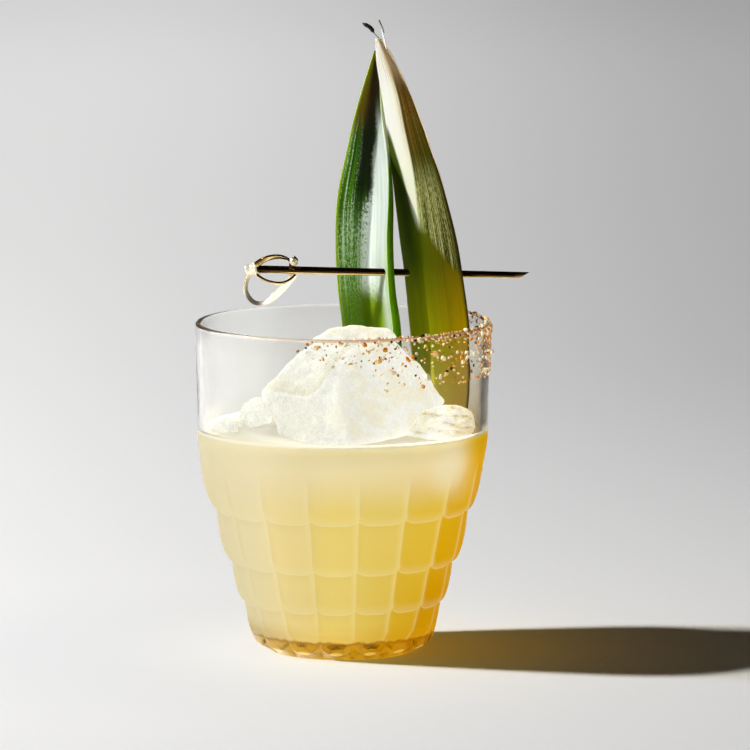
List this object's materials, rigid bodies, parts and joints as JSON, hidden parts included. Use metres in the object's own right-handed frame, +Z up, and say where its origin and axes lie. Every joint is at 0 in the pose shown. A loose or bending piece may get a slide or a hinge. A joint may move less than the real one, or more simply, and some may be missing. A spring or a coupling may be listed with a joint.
{
  "type": "pineapple lime cocktail in a tumbler",
  "caption": "Short tiled glass tumbler filled with a cloudy yellow drink and rough ice, with pineapple leaves on a knotted metal pick and spice on part of the rim.",
  "frame": {"origin": "centre of the glass's foot, on the surface it stands on", "axes": "+Z up, -Y towards the side that faces the viewer, the pick's point towards +X"},
  "size_m": [0.0965, 0.0859, 0.1806],
  "materials": {
    "glass": "clear pressed glass, polished",
    "drink": "cloudy pale yellow liquid, glossy top",
    "ice": "rough, frosty clear ice",
    "green_leaf": "waxy dark green, lengthwise streaks",
    "pale_leaf": "waxy olive green with a cream and brown dry tip",
    "brass": "polished",
    "spice": "coarse grains, cream, orange and rust"
  },
  "bodies": {
    "root": {"glass": "glass", "drink": "drink", "ice_block": "ice", "ice_chip_right": "ice", "ice_chip_left": "ice", "ice_chip_thin": "ice", "leaf_left": "green_leaf", "leaf_right": "pale_leaf", "pick": "brass"}
  },
  "joints": []
}
